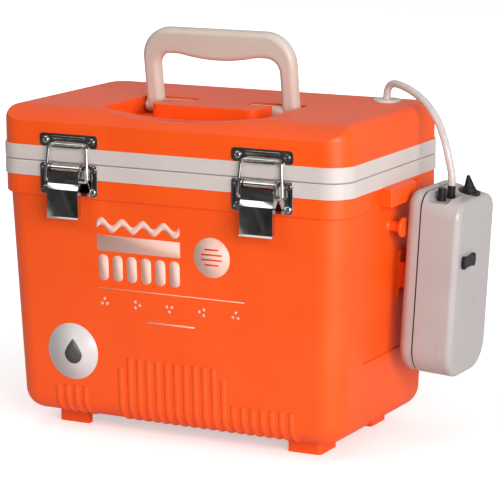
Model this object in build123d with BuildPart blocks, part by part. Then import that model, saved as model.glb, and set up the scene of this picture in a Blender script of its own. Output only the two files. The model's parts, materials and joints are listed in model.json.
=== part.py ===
"""Insulated live-bait cooler with a clip-on air pump.

Millimetres, +Z up. The latches face -Y, the hinge is at +Y and the air pump hangs on
the +X end. Everything is drawn about the middle of the tub; on writing, the pieces move
together so that the origin is on the floor under the middle of the whole's bounding box.
Each piece is written as its own STEP file in parts/.
"""

import os
from math import atan2, cos, degrees, hypot, radians, sin, tan

from build123d import *

os.makedirs("parts", exist_ok=True)


# ---------------------------------------------------------------- dimensions
# Tub and lid, measured over the white rim bands
rim_length = 305.0
rim_depth = 183.0
rim_corner = 20.0
rim_top = 217.3
band_height = 11.8
band_proud = 0.8
seam_gap = 0.4
lid_shell_height = 29.3
shell_wall = 3.0
liner_wall = 2.4
foam_gap = 0.3
fit_gap = 0.4
running_gap = 0.08

# Tub body
body_base = 12.0
collar_step_x = 2.6
collar_step_y = 2.7
end_taper = 8.2
side_taper = 6.8
base_corner = 18.0
bottom_radius = 17.0
collar_height = 15.5
collar_chamfer = 1.2
cavity_floor = 28.0
end_wall_top = 11.4
side_wall_top = 11.3
end_wall_low = 12.7
side_wall_low = 13.0
cavity_corner = 12.0

# Feet, L-shaped walls moulded under the base
foot_inset_x = 24.2
foot_inset_y = 21.9
foot_leg = 27.4
foot_wall = 6.0

# Upright ribs on the front of the tub
rib_pitch = 8.3
rib_count = 26
rib_width = 5.6
rib_height = 1.1
strip_top = 37.0
rib_panel_top = 65.0
rib_panel_half_top = 42.0
rib_panel_half_base = 54.0

# Shallow panel, strap ledge and strap post on each end wall
panel_half_low = 51.0
panel_half_high = 42.0
panel_low = 70.0
panel_top_gap = 2.0
panel_corner = 14.0
panel_depth = 1.2
ledge_half = 23.0
ledge_height = 14.5
ledge_proud = 8.3
ledge_top_slope = 1.8
ledge_edge = 1.5
post_below_ledge = 19.0
post_head_radius = 7.8
post_head_thick = 2.4
post_neck_radius = 4.0
post_neck_length = 10.6

# Lid top
lid_edge_radius = 10.5
crease_height = 19.0
shoulder_depth = 24.8
shoulder_mid_in = 11.0
shoulder_mid_up = 6.8
plug_depth = 3.6
plug_gap = 1.5
plug_taper = 0.5
plug_wall = 2.5
groove_in = 4.0
groove_width = 4.0
groove_depth = 1.2
gasket_lift = 0.15
gasket_gap = 0.2
keeper_rail_over = 4.3
keeper_rail_depth = 4.1
keeper_rail_height = 11.5

# Room round the folded handle in the lid's recess, and round the block inside the handle
handle_side_gap = 4.5
handle_tip_gap = 5.0
handle_back_gap = 1.4
handle_floor_gap = 0.6
recess_corner = 6.0
block_side_gap = 7.0
block_front_gap = 4.0
block_back_gap = 1.2
block_corner = 8.0
hub_gap = 1.5
dip_depth = 5.4
dip_half = 68.0

# Carrying handle
handle_axis_y = 5.0
handle_axis_drop = 6.2
handle_lean = 8.0
handle_half = 67.5
handle_reach = 65.0
leg_width = 13.5
handle_thick = 12.0
grip_height_mid = 25.0
grip_height_end = 21.0
belly_half = 34.0
belly_blend = 40.0
handle_corner = 25.0
grip_corner = 11.0
handle_edge = 4.6
barrel_radius = 5.6
barrel_inner = 25.5
handle_pin_radius = 2.4
pin_in_hub = 10.5
pin_in_wall = 5.0

# Rear hinges
hinge_x = 85.0
hinge_axis_out = 6.0
knuckle_radius = 5.0
hinge_pin_radius = 1.8
lid_knuckle_length = 24.0
tub_knuckle_length = 12.0
knuckle_web = 9.5

# Draw latches
latch_x = 84.7
sheet = 1.0
base_plate_width = 52.0
base_plate_height = 25.0
plate_corner = 3.0
base_screw_up = 3.9
keeper_height = 10.3
keeper_screw_x = 20.5
keeper_screw_up = 5.1
keeper_ledge_half = 12.4
keeper_ledge_reach = 3.6
lever_axis_out = 4.7
lever_axis_drop = 2.9
lever_knuckle_radius = 2.8
knuckle_side_gap = 0.5
lever_pin_radius = 1.4
lever_width = 28.0
lever_top_drop = 3.0
lever_upper_height = 9.0
lever_bend_height = 4.2
lever_lower_height = 22.8
lever_upper_out = 8.9
lever_lower_out = 10.9
ear_radius = 3.4
eye_radius = 2.6
eye_in = 0.4
eye_drop = 10.4
bail_wire_radius = 1.15
bail_bar_out = 1.75
bail_half_top = 17.0
bail_half_base = 19.0
bail_corner = 4.5
bail_seat_gap = 0.15
screw_spacing_x = 44.0
screw_spacing_z = 17.2
screw_head_radius = 2.6
screw_head_height = 1.6
screw_shank_radius = 1.5
screw_shank_length = 4.6
screw_hole_radius = 1.75
pilot_radius = 1.4

# Air pump, in its own leaning frame
pump_y = 32.5
pump_centre_z = 127.0
pump_standoff = 11.63
pump_lean = 3.5
pump_height = 142.0
pump_back_depth = 12.2
pump_seal_thick = 1.3
pump_seal_inset = 0.6
pump_top_corner = 13.0
pump_low_corner = 23.0
pump_wall = 2.2
pump_front_edge = 5.0
pump_back_edge = 8.5
pump_top_slope = 0.18
pump_top_mid_w = 28.3
notch_depth = 4.0
notch_half = 8.2
notch_mid_w = 25.0
notch_end_u = -1.2
notch_corner = 2.2
nozzle_u = -6.0
nozzle_w = 24.6
spare_nozzle_u = -20.0
spare_nozzle_w = 22.7
nozzle_height = 10.0
nozzle_radius = 3.1
toggle_u = 10.2
toggle_w = 33.0
toggle_ball = 5.4
toggle_tip = 1.7
toggle_length = 12.7
toggle_throw = 9.6
bezel_radius = 8.6
bezel_thick = 1.6
knob_u = -15.5
knob_v = 22.3
knob_hub_radius = 3.6
knob_half = 11.2
knob_end_half = 5.3
knob_waist_half = 4.0
knob_thick = 2.6
cell_radius = 13.1
cell_length = 50.0
cell_gap = 1.8
cell_side_room = 8.4
cell_depth_room = 18.8
cell_floor_gap = 11.0
motor_u = 15.0
motor_radius = 11.8
motor_length = 30.0
motor_gap = 12.0
chamber_u = -14.5
chamber_width = 26.0
chamber_depth = 24.0
chamber_height = 24.0
chamber_drop = 33.0

# Hanger: a channel on the end wall and the tongue on the pump's back
hanger_half = 13.0
hanger_height = 40.0
hanger_rail = 20.0
hanger_sheet = 1.5
hanger_reach = 6.0
hanger_lip = 5.0
tongue_thick = 2.2

# Air hose
hose_diameter = 6.0
hose_seat_gap = 0.05
grommet_x = 116.0
grommet_y = 62.0
grommet_radius = 11.0
grommet_flange = 2.0
grommet_neck = 4.4
hose_points = [
    (116.0, 62.0, 260.8),
    (116.0, 62.0, 266.8),
    (118.9, 60.6, 271.9),
    (123.7, 58.2, 274.1),
    (132.3, 53.9, 273.3),
    (146.5, 46.8, 269.6),
    (160.9, 39.7, 261.8),
    (172.9, 33.7, 250.1),
    (180.5, 30.0, 234.5),
    (185.3, 27.6, 218.5),
]
inner_hose_points = [
    (116.0, 62.0, 211.0),
    (116.2, 61.2, 191.0),
    (114.4, 57.2, 166.0),
    (110.6, 49.6, 141.0),
    (106.8, 40.0, 117.0),
    (104.2, 31.2, 94.0),
    (103.0, 24.0, 73.0),
    (103.0, 24.0, 56.0),
]
stone_radius = 8.0
stone_height = 24.0

# ------------------------------------------------------------ derived places
rim_half_x = rim_length / 2
rim_half_y = rim_depth / 2
shell_half_x = rim_half_x - band_proud
shell_half_y = rim_half_y - band_proud
shell_top = rim_top - band_height
body_top_length = rim_length - 2 * collar_step_x
body_top_depth = rim_depth - 2 * collar_step_y
base_length = body_top_length - 2 * end_taper
base_depth = body_top_depth - 2 * side_taper
cavity_top_length = body_top_length - 2 * end_wall_top
cavity_top_depth = body_top_depth - 2 * side_wall_top
cavity_floor_length = base_length - 2 * end_wall_low
cavity_floor_depth = base_depth - 2 * side_wall_low
foot_span_x = base_length - 2 * foot_inset_x
foot_span_y = base_depth - 2 * foot_inset_y
panel_high = shell_top - panel_top_gap
ledge_low = shell_top - ledge_height
post_height_on_wall = ledge_low - post_below_ledge
collar_low = shell_top - collar_height
lid_rim_low = rim_top + seam_gap
lid_shell_low = lid_rim_low + band_height
lid_top = lid_shell_low + lid_shell_height
leg_inner = handle_half - leg_width
grip_low_end = handle_reach - grip_height_end
grip_low_mid = handle_reach - grip_height_mid
recess_half = handle_half + handle_side_gap
recess_front = handle_axis_y - handle_reach - handle_tip_gap
recess_back = handle_axis_y + handle_thick / 2 + handle_back_gap
recess_depth = handle_axis_drop + handle_thick / 2 + handle_floor_gap
block_half = leg_inner - block_side_gap
block_front = handle_axis_y - grip_low_mid + block_front_gap
block_back = handle_axis_y - barrel_radius - block_back_gap
hub_half = barrel_inner - hub_gap
handle_pin_inner = barrel_inner - pin_in_hub
handle_pin_outer = recess_half + pin_in_wall
recess_floor = lid_top - recess_depth
handle_axis_z = lid_top - handle_axis_drop
base_plate_high = rim_top - 0.1
base_plate_low = base_plate_high - base_plate_height
lever_axis_height = rim_top - lever_axis_drop
lever_top = lever_axis_height - lever_top_drop
lever_bend_top = lever_top - lever_upper_height
lever_bend_low = lever_bend_top - lever_bend_height
lever_low = lever_bend_low - lever_lower_height
lever_knuckle_half = lever_width / 2 - sheet - knuckle_side_gap
keeper_low = lid_shell_low + 0.4
keeper_screw_z = keeper_low + keeper_screw_up
keeper_screw_spots = [(-keeper_screw_x, keeper_screw_z), (keeper_screw_x, keeper_screw_z)]
pump_width = 4 * cell_radius + cell_gap + 2 * cell_side_room
pump_depth = 2 * cell_radius + cell_depth_room
notch_floor = pump_height / 2 - notch_depth
hinge_y = rim_half_y + hinge_axis_out
hinge_z = rim_top + seam_gap / 2
wall_slope_x = (body_top_length - base_length) / 2 / (shell_top - body_base)
wall_slope_y = (body_top_depth - base_depth) / 2 / (shell_top - body_base)
wall_lean_x = degrees(atan2(wall_slope_x, 1))
sides = {"left": -1, "right": 1}
pieces = {}


def save(part, name):
    """Label a finished piece and keep it for writing."""
    part.label = name
    pieces[name] = part


def tapered_block(low, high, low_size, high_size, low_corner, high_corner, edge=0.0):
    """A block with rounded plan corners that widens from low to high."""
    with BuildPart() as block:
        with BuildSketch(Plane.XY.offset(low)):
            RectangleRounded(low_size[0], low_size[1], low_corner)
        with BuildSketch(Plane.XY.offset(high)):
            RectangleRounded(high_size[0], high_size[1], high_corner)
        loft(ruled=True)
        if edge:
            fillet(block.faces().sort_by(Axis.Z)[0].edges(), edge)
    return block.part


def wall_half_x(z):
    """Half of the tub's outer length at height z."""
    return base_length / 2 + wall_slope_x * (z - body_base)


def wall_half_y(z):
    """Half of the tub's outer depth at height z."""
    return base_depth / 2 + wall_slope_y * (z - body_base)


def end_plane(z, out=0.0):
    """A plane on the right end wall at height z, local y up the wall and z outwards."""
    lean = radians(wall_lean_x)
    normal = Vector(cos(lean), 0, -sin(lean))
    origin = Vector(wall_half_x(z), 0, z) + normal * out
    return Plane(origin=origin, x_dir=(0, 1, 0), z_dir=normal)


# ------------------------------------------------------------- tub: shell
def front_rib(top):
    """One upright rib that follows the front wall and turns under the base."""
    lean = Vector(0, -1, -wall_slope_y).normalized()
    centre_z = body_base + bottom_radius
    centre_y = -wall_half_y(centre_z) + bottom_radius * hypot(1, wall_slope_y)
    centre = Vector(0, centre_y, centre_z)
    wall_foot = centre + lean * bottom_radius
    bend = centre + (lean + Vector(0, 0, -1)).normalized() * bottom_radius
    under = centre + Vector(0, 0, -bottom_radius)
    start = Vector(0, -wall_half_y(top), top)
    with BuildPart() as rib:
        with BuildLine():
            Line(start, wall_foot)
            ThreePointArc(wall_foot, bend, under)
        section = Plane(origin=start, x_dir=(1, 0, 0), z_dir=wall_foot - start)
        outwards = 1 if section.y_dir.Y < 0 else -1
        with BuildSketch(section):
            with BuildLine():
                ThreePointArc(
                    (-rib_width / 2, -0.4 * outwards),
                    (0, rib_height * outwards),
                    (rib_width / 2, -0.4 * outwards),
                )
                Line((rib_width / 2, -0.4 * outwards), (-rib_width / 2, -0.4 * outwards))
            make_face()
        sweep()
    return rib.part


def rib_top(x):
    """Height of the rib at x: a low strip with a taller panel in the middle."""
    if abs(x) <= rib_panel_half_top:
        return rib_panel_top
    if abs(x) >= rib_panel_half_base:
        return strip_top
    share = (abs(x) - rib_panel_half_top) / (rib_panel_half_base - rib_panel_half_top)
    return rib_panel_top + (strip_top - rib_panel_top) * share


tub_outer = tapered_block(
    body_base,
    shell_top,
    (base_length, base_depth),
    (body_top_length, body_top_depth),
    base_corner,
    rim_corner,
    bottom_radius,
)
tub_inner = tapered_block(
    body_base + shell_wall,
    shell_top,
    (base_length - 2 * shell_wall, base_depth - 2 * shell_wall),
    (body_top_length - 2 * shell_wall, body_top_depth - 2 * shell_wall),
    base_corner - shell_wall,
    rim_corner - shell_wall,
    bottom_radius - shell_wall,
)

with BuildPart() as ledge_build:
    ledge_root = wall_half_x(ledge_low) - shell_wall
    ledge_front = shell_half_x + ledge_proud
    with BuildSketch(Plane.XZ.offset(-ledge_half)):
        with BuildLine():
            Polyline(
                (ledge_root, ledge_low),
                (ledge_front, ledge_low),
                (ledge_front, shell_top - ledge_top_slope),
                (shell_half_x, shell_top),
                (ledge_root, shell_top),
                close=True,
            )
        make_face()
    extrude(amount=2 * ledge_half)
    fillet(ledge_build.faces().sort_by(Axis.X)[-1].edges().filter_by(Axis.Z), ledge_edge)
strap_ledge = ledge_build.part

with BuildPart() as tub_shell:
    add(tub_outer)
    # Collar that steps out to carry the rim band
    add(tapered_block(
        collar_low,
        collar_low + collar_chamfer,
        (2 * (shell_half_x - collar_chamfer), 2 * (shell_half_y - collar_chamfer)),
        (2 * shell_half_x, 2 * shell_half_y),
        rim_corner - collar_chamfer,
        rim_corner,
    ))
    with BuildSketch(Plane.XY.offset(collar_low + collar_chamfer)):
        RectangleRounded(2 * shell_half_x, 2 * shell_half_y, rim_corner)
    extrude(amount=collar_height - collar_chamfer)
    # Panel, strap ledge and its underside on both end walls
    panel_mid = (panel_low + panel_high) / 2
    with BuildSketch(end_plane(panel_mid, -panel_depth)):
        half_height = (panel_high - panel_low) / 2
        with BuildLine():
            outline = Polyline(
                (-panel_half_high, half_height),
                (-panel_half_low, -half_height),
                (panel_half_low, -half_height),
                (panel_half_high, half_height),
                close=True,
            )
        make_face()
        fillet(vertices().group_by(Axis.Y)[0], panel_corner)
    panel_cut = extrude(amount=8, mode=Mode.SUBTRACT)
    mirror(panel_cut, about=Plane.YZ, mode=Mode.SUBTRACT)
    add(strap_ledge)
    mirror(strap_ledge, about=Plane.YZ)
    # Pads behind the latch bases, level with the rim band
    with BuildSketch(Plane.XZ.offset(shell_half_y - 1.0)):
        with Locations((-latch_x, 0), (latch_x, 0)):
            with Locations((0, (base_plate_low + 1.0 + shell_top) / 2)):
                Rectangle(base_plate_width - 3.0, shell_top - base_plate_low - 1.0)
    extrude(amount=1.0 + band_proud)
    # Feet
    for foot_x in (-1, 1):
        for foot_y in (-1, 1):
            corner = Vector(foot_x * foot_span_x / 2, foot_y * foot_span_y / 2, 0)
            with BuildSketch(Plane.XY):
                with Locations(corner - Vector(foot_x * foot_leg, foot_y * foot_wall, 0) / 2):
                    Rectangle(foot_leg, foot_wall)
                with Locations(corner - Vector(foot_x * foot_wall, foot_y * foot_leg, 0) / 2):
                    Rectangle(foot_wall, foot_leg)
                fillet(vertices().sort_by_distance(corner)[0], 3.0)
            extrude(amount=body_base + 1.5)
    add(tub_inner, mode=Mode.SUBTRACT)
    # Pilot holes for the lower screws of the latches
    for side_x in (-latch_x, latch_x):
        with BuildSketch(Plane.XZ.offset(rim_half_y)):
            with Locations((side_x - screw_spacing_x / 2, base_plate_low + base_screw_up)):
                Circle(pilot_radius)
            with Locations((side_x + screw_spacing_x / 2, base_plate_low + base_screw_up)):
                Circle(pilot_radius)
        extrude(amount=-screw_shank_length, mode=Mode.SUBTRACT)
    # Ribs
    for number in range(rib_count):
        rib_x = (number - (rib_count - 1) / 2) * rib_pitch
        with Locations((rib_x, 0, 0)):
            add(front_rib(rib_top(rib_x)))
print("tub_shell", tub_shell.part.volume, len(tub_shell.solids()))
save(tub_shell.part, "tub_shell")


# ------------------------------------------------------------- tub: liner
def liner_half(half_top, half_floor, z):
    """Half size of the cavity at height z."""
    share = (z - cavity_floor) / (rim_top - cavity_floor)
    return half_floor + (half_top - half_floor) * share


def cavity_block(low, high, grow, edge=0.0):
    """The cavity between two heights, grown on all sides."""
    sizes = []
    for z in (low, high):
        size_x = 2 * (liner_half(cavity_top_length / 2, cavity_floor_length / 2, z) + grow)
        size_y = 2 * (liner_half(cavity_top_depth / 2, cavity_floor_depth / 2, z) + grow)
        sizes.append((size_x, size_y))
    return tapered_block(low, high, sizes[0], sizes[1], cavity_corner + grow, cavity_corner + grow, edge)


tray_base = cavity_floor - liner_wall
liner_outer = cavity_block(tray_base, shell_top, liner_wall, 8.0 + liner_wall)
liner_cavity = cavity_block(cavity_floor, rim_top, 0.0, 8.0)
foam_hole = cavity_block(tray_base - foam_gap, shell_top, liner_wall + foam_gap, 8.0 + liner_wall)

with BuildPart() as tub_insulation:
    add(tapered_block(
        body_base + shell_wall + foam_gap,
        shell_top - foam_gap,
        (base_length - 2 * shell_wall - 2 * foam_gap, base_depth - 2 * shell_wall - 2 * foam_gap),
        (body_top_length - 2 * shell_wall - 2 * foam_gap, body_top_depth - 2 * shell_wall - 2 * foam_gap),
        base_corner - shell_wall,
        rim_corner - shell_wall,
        bottom_radius - shell_wall,
    ))
    add(foam_hole, mode=Mode.SUBTRACT)
save(tub_insulation.part, "tub_insulation")


def hinge_knuckles(parts_of_tub):
    """Hinge knuckles with their webs: the outer pair on the tub or the middle one on the lid."""
    lows = []
    for centre in (-hinge_x, hinge_x):
        if parts_of_tub:
            start = lid_knuckle_length / 2 + fit_gap
            lows.append((centre - start - tub_knuckle_length, tub_knuckle_length))
            lows.append((centre + start, tub_knuckle_length))
        else:
            lows.append((centre - lid_knuckle_length / 2, lid_knuckle_length))
    web_low = -knuckle_web - seam_gap if parts_of_tub else seam_gap
    bore = hinge_pin_radius if parts_of_tub else hinge_pin_radius + running_gap
    with BuildPart() as knuckles:
        for start, length in lows:
            with BuildSketch(Plane.YZ.offset(start)):
                with Locations((hinge_y, hinge_z)):
                    Circle(knuckle_radius)
                with Locations((hinge_y - hinge_axis_out - 1.0, hinge_z + web_low)):
                    Rectangle(hinge_axis_out + 1.0, knuckle_web, align=(Align.MIN, Align.MIN))
                with Locations((hinge_y, hinge_z)):
                    Circle(bore, mode=Mode.SUBTRACT)
            extrude(amount=length)
    return knuckles.part


with BuildPart() as tub_liner:
    with BuildSketch(Plane.XY.offset(shell_top)):
        RectangleRounded(rim_length, rim_depth, rim_corner)
    extrude(amount=band_height)
    fillet(tub_liner.faces().sort_by(Axis.Z)[-1].edges(), 1.2)
    add(liner_outer)
    add(liner_cavity, mode=Mode.SUBTRACT)
    add(hinge_knuckles(True))
    for side_x in (-latch_x, latch_x):
        with BuildSketch(Plane.XZ.offset(rim_half_y)):
            upper_screws = base_plate_low + base_screw_up + screw_spacing_z
            half_x = screw_spacing_x / 2
            with Locations((side_x - half_x, upper_screws), (side_x + half_x, upper_screws)):
                Circle(pilot_radius)
        extrude(amount=-screw_shank_length, mode=Mode.SUBTRACT)
print("tub_liner", tub_liner.part.volume, "cavity litres", liner_cavity.volume / 1e6)
save(tub_liner.part, "tub_liner")

with BuildPart() as hinge_pins:
    pin_half = lid_knuckle_length / 2 + fit_gap + tub_knuckle_length - 0.5
    for centre in (-hinge_x, hinge_x):
        with BuildSketch(Plane.YZ.offset(centre - pin_half)):
            with Locations((hinge_y, hinge_z)):
                Circle(hinge_pin_radius)
        extrude(amount=2 * pin_half)
save(hinge_pins.part, "hinge_pins")


# ------------------------------------------------------------------- lid
def front_cut(profile):
    """The block above a profile of (y, z) points, used to slope the lid's front edge."""
    with BuildPart() as cut:
        with BuildSketch(Plane.YZ.offset(-rim_half_x - 5)):
            with BuildLine():
                if len(profile) == 3:
                    ThreePointArc(*profile)
                else:
                    Polyline(*profile)
                Polyline(
                    profile[-1],
                    (profile[-1][0], lid_top + 12),
                    (profile[0][0] - 12, lid_top + 12),
                    (profile[0][0] - 12, profile[0][1]),
                    profile[0],
                )
            make_face()
        extrude(amount=rim_length + 10)
    return cut.part


shoulder = [
    (-shell_half_y, lid_shell_low + crease_height),
    (-shell_half_y + shoulder_mid_in, lid_shell_low + crease_height + shoulder_mid_up),
    (-shell_half_y + shoulder_depth, lid_top),
]
inner_shoulder = [
    (-shell_half_y + shell_wall - 1.5, lid_shell_low + crease_height - 4.4),
    (-shell_half_y + shoulder_mid_in + 1.5, lid_shell_low + crease_height + shoulder_mid_up - 3.6),
    (-shell_half_y + shoulder_depth - 5.8, lid_shell_low + crease_height + shoulder_mid_up - 1.4),
    (-shell_half_y + shoulder_depth + 5.2, lid_top - shell_wall + 0.8),
]


def recess_sketch(grow):
    """Outline of the handle recess, grown on all sides."""
    with BuildSketch() as outline:
        with Locations((0, (recess_front + recess_back) / 2)):
            RectangleRounded(
                2 * (recess_half + grow), recess_back - recess_front + 2 * grow, recess_corner + grow
            )
    return outline.sketch


def recess_block_sketch():
    """Outline of the raised block inside the recess, with the hub behind it."""
    with BuildSketch() as outline:
        with Locations((0, (block_front + block_back) / 2)):
            Rectangle(2 * block_half, block_back - block_front)
        fillet(outline.vertices().group_by(Axis.Y)[0], block_corner)
        with Locations((0, (block_front + recess_back + 1) / 2)):
            Rectangle(2 * hub_half, recess_back + 1 - block_front)
    return outline.sketch


with BuildPart() as lid_cavity:
    with BuildSketch(Plane.XY.offset(lid_shell_low)):
        RectangleRounded(
            2 * (shell_half_x - shell_wall), 2 * (shell_half_y - shell_wall), rim_corner - shell_wall
        )
    extrude(amount=lid_shell_height - shell_wall)
    fillet(lid_cavity.faces().sort_by(Axis.Z)[-1].edges(), lid_edge_radius - shell_wall)
    add(front_cut(inner_shoulder), mode=Mode.SUBTRACT)
    with BuildSketch(Plane.XY.offset(recess_floor - shell_wall)):
        add(recess_sketch(5.5))
    extrude(amount=recess_depth + 4, mode=Mode.SUBTRACT)
    # Rails left standing behind the keepers
    with BuildSketch(Plane.XY.offset(lid_shell_low)):
        with Locations((0, -shell_half_y + shell_wall + keeper_rail_depth / 2 - 0.05)):
            Rectangle(2 * (latch_x + base_plate_width / 2 + keeper_rail_over), keeper_rail_depth + 0.1)
    extrude(amount=keeper_rail_height, mode=Mode.SUBTRACT)

with BuildPart() as lid_shell:
    with BuildSketch(Plane.XY.offset(lid_shell_low)):
        RectangleRounded(2 * shell_half_x, 2 * shell_half_y, rim_corner)
    extrude(amount=lid_shell_height)
    fillet(lid_shell.faces().sort_by(Axis.Z)[-1].edges(), lid_edge_radius)
    add(front_cut(shoulder), mode=Mode.SUBTRACT)
    add(lid_cavity.part, mode=Mode.SUBTRACT)
    # Finger dip in the front lip
    with BuildSketch(Plane.XZ.offset(-recess_front - 3)):
        with BuildLine():
            ThreePointArc((-dip_half, lid_top + 0.1), (0, lid_top - dip_depth), (dip_half, lid_top + 0.1))
            Line((-dip_half, lid_top + 0.1), (dip_half, lid_top + 0.1))
        make_face()
    extrude(amount=40, mode=Mode.SUBTRACT)
    # Handle recess around its block
    with BuildSketch(Plane.XY.offset(recess_floor)):
        add(recess_sketch(0.0))
        add(recess_block_sketch(), mode=Mode.SUBTRACT)
    extrude(amount=recess_depth + 1, mode=Mode.SUBTRACT)
    # Holes for the handle pins
    with BuildSketch(Plane.YZ.offset(handle_pin_inner)):
        with Locations((handle_axis_y, handle_axis_z)):
            Circle(handle_pin_radius)
    pin_hole = extrude(amount=handle_pin_outer - handle_pin_inner, mode=Mode.SUBTRACT)
    mirror(pin_hole, about=Plane.YZ, mode=Mode.SUBTRACT)
    # Hole for the hose grommet
    with Locations((grommet_x, grommet_y, lid_top - shell_wall / 2)):
        Cylinder(grommet_neck, shell_wall + 2, mode=Mode.SUBTRACT)
    # Pilot holes for the keeper screws
    for side_x in (-latch_x, latch_x):
        with BuildSketch(Plane.XZ.offset(shell_half_y)):
            with Locations(*[(side_x + spot_x, spot_z) for spot_x, spot_z in keeper_screw_spots]):
                Circle(pilot_radius)
        extrude(amount=-screw_shank_length, mode=Mode.SUBTRACT)
print("lid_shell", lid_shell.part.volume, len(lid_shell.solids()))
save(lid_shell.part, "lid_shell")


# ------------------------------------------------------- lid: inner pieces
with BuildPart() as lid_insulation:
    with BuildSketch(Plane.XY.offset(lid_rim_low + liner_wall + fit_gap)):
        slab_front = -shell_half_y + shell_wall + keeper_rail_depth + 0.5
        slab_back = shell_half_y - shell_wall - foam_gap
        with Locations((0, (slab_front + slab_back) / 2)):
            RectangleRounded(
                2 * (shell_half_x - shell_wall - foam_gap), slab_back - slab_front, rim_corner - shell_wall
            )
    extrude(amount=recess_floor - shell_wall - foam_gap - lid_rim_low - liner_wall - fit_gap)
    with Locations((grommet_x, grommet_y, lid_shell_low)):
        Cylinder(grommet_neck + foam_gap, 60, mode=Mode.SUBTRACT)
save(lid_insulation.part, "lid_insulation")



def ring_sketch(inner, outer):
    """A ring round the mouth of the cavity, between two distances from it."""
    with BuildSketch() as ring:
        for grow, mode in ((outer, Mode.ADD), (inner, Mode.SUBTRACT)):
            length = cavity_top_length + 2 * grow
            RectangleRounded(length, cavity_top_depth + 2 * grow, cavity_corner + grow, mode=mode)
    return ring.sketch


plug_low = lid_rim_low - plug_depth
with BuildPart() as lid_liner:
    with BuildSketch(Plane.XY.offset(lid_rim_low)):
        RectangleRounded(rim_length, rim_depth, rim_corner)
    extrude(amount=band_height)
    fillet(lid_liner.faces().sort_by(Axis.Z)[0].edges(), 1.2)
    with BuildSketch(Plane.XY.offset(lid_rim_low + liner_wall)):
        RectangleRounded(rim_length - 2 * shell_wall, rim_depth - 2 * shell_wall, rim_corner - shell_wall)
    extrude(amount=band_height, mode=Mode.SUBTRACT)
    # Plug that drops into the mouth of the tub
    with BuildSketch(Plane.XY.offset(plug_low)):
        RectangleRounded(
            cavity_top_length - 2 * (plug_gap + plug_taper),
            cavity_top_depth - 2 * (plug_gap + plug_taper),
            cavity_corner - plug_gap,
        )
        RectangleRounded(
            cavity_top_length - 2 * (plug_gap + plug_taper + plug_wall),
            cavity_top_depth - 2 * (plug_gap + plug_taper + plug_wall),
            cavity_corner - plug_gap - plug_wall,
            mode=Mode.SUBTRACT,
        )
    extrude(amount=plug_depth + 0.5)
    # Groove for the gasket
    with BuildSketch(Plane.XY.offset(lid_rim_low)):
        add(ring_sketch(groove_in, groove_in + groove_width))
    extrude(amount=groove_depth, mode=Mode.SUBTRACT)
    with Locations((grommet_x, grommet_y, lid_rim_low)):
        Cylinder(grommet_neck + 0.1, 12, mode=Mode.SUBTRACT)
    add(hinge_knuckles(False))
print("lid_liner", lid_liner.part.volume, len(lid_liner.solids()))
save(lid_liner.part, "lid_liner")

with BuildPart() as rim_gasket:
    with BuildSketch(Plane.XY.offset(rim_top + gasket_lift)):
        add(ring_sketch(groove_in + gasket_gap, groove_in + groove_width - gasket_gap))
    extrude(amount=seam_gap + groove_depth - gasket_lift - 0.05)
save(rim_gasket.part, "rim_gasket")

with BuildPart() as hose_grommet:
    with BuildSketch(Plane.XY.offset(lid_top)):
        with Locations((grommet_x, grommet_y)):
            Circle(grommet_radius)
    extrude(amount=grommet_flange)
    chamfer(hose_grommet.faces().sort_by(Axis.Z)[-1].edges(), 0.7)
    with BuildSketch(Plane.XY.offset(plug_low + 0.6)):
        with Locations((grommet_x, grommet_y)):
            Circle(grommet_neck - 0.1)
    extrude(amount=lid_top - plug_low)
    with BuildSketch(Plane.XY.offset(plug_low)):
        with Locations((grommet_x, grommet_y)):
            Circle(hose_diameter / 2 - 0.9)
    extrude(amount=lid_top + grommet_flange - plug_low - 3.0, mode=Mode.SUBTRACT)
print("hose_grommet", hose_grommet.part.volume, len(hose_grommet.solids()))
save(hose_grommet.part, "hose_grommet")

# ---------------------------------------------------------------- handle
handle_lean_rad = radians(handle_lean)
handle_plane = Plane(
    origin=(0, handle_axis_y, handle_axis_z),
    x_dir=(1, 0, 0),
    z_dir=(0, -cos(handle_lean_rad), -sin(handle_lean_rad)),
)

with BuildPart() as handle:
    with BuildSketch(handle_plane):
        with BuildLine():
            Polyline((-leg_inner, 0), (-leg_inner, grip_low_end), (-belly_half, grip_low_end))
            ThreePointArc((-belly_half, grip_low_end), (0, grip_low_mid), (belly_half, grip_low_end))
            Polyline(
                (belly_half, grip_low_end),
                (leg_inner, grip_low_end),
                (leg_inner, 0),
                (handle_half, 0),
                (handle_half, handle_reach),
                (-handle_half, handle_reach),
                (-handle_half, 0),
                (-leg_inner, 0),
            )
        make_face()
        for half, above, radius in (
            (handle_half, handle_reach / 2, handle_corner),
            (leg_inner, grip_low_end / 2, grip_corner),
            (belly_half, grip_low_end / 2, belly_blend),
        ):
            fillet([v for v in vertices() if abs(abs(v.X) - half) < 1 and v.Y > above], radius)
    extrude(amount=handle_thick / 2, both=True)
    long_edges = handle.edges().filter_by(lambda e: e.length > 1.0).filter_by(
        lambda e: e.center().Z > handle_axis_z + 3
        and abs(abs(handle_plane.to_local_coords(e.center()).Z) - handle_thick / 2) < 0.01
    )
    fillet(long_edges, handle_edge)
    for side in (-1, 1):
        with BuildSketch(Plane.YZ.offset(side * (leg_inner + leg_width / 2))):
            with Locations((handle_axis_y, handle_axis_z)):
                Circle(handle_thick / 2 - 0.1)
        extrude(amount=leg_width / 2, both=True)
        with BuildSketch(Plane.YZ.offset(side * (barrel_inner + leg_inner + 1) / 2)):
            with Locations((handle_axis_y, handle_axis_z)):
                Circle(barrel_radius)
        extrude(amount=(leg_inner + 1 - barrel_inner) / 2, both=True)
    with BuildSketch(Plane.YZ.offset(-handle_half - 1)):
        with Locations((handle_axis_y, handle_axis_z)):
            Circle(handle_pin_radius + running_gap)
    extrude(amount=2 * handle_half + 2, mode=Mode.SUBTRACT)
print("handle", handle.part.volume, len(handle.solids()), handle.part.bounding_box())
save(handle.part, "handle")

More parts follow.
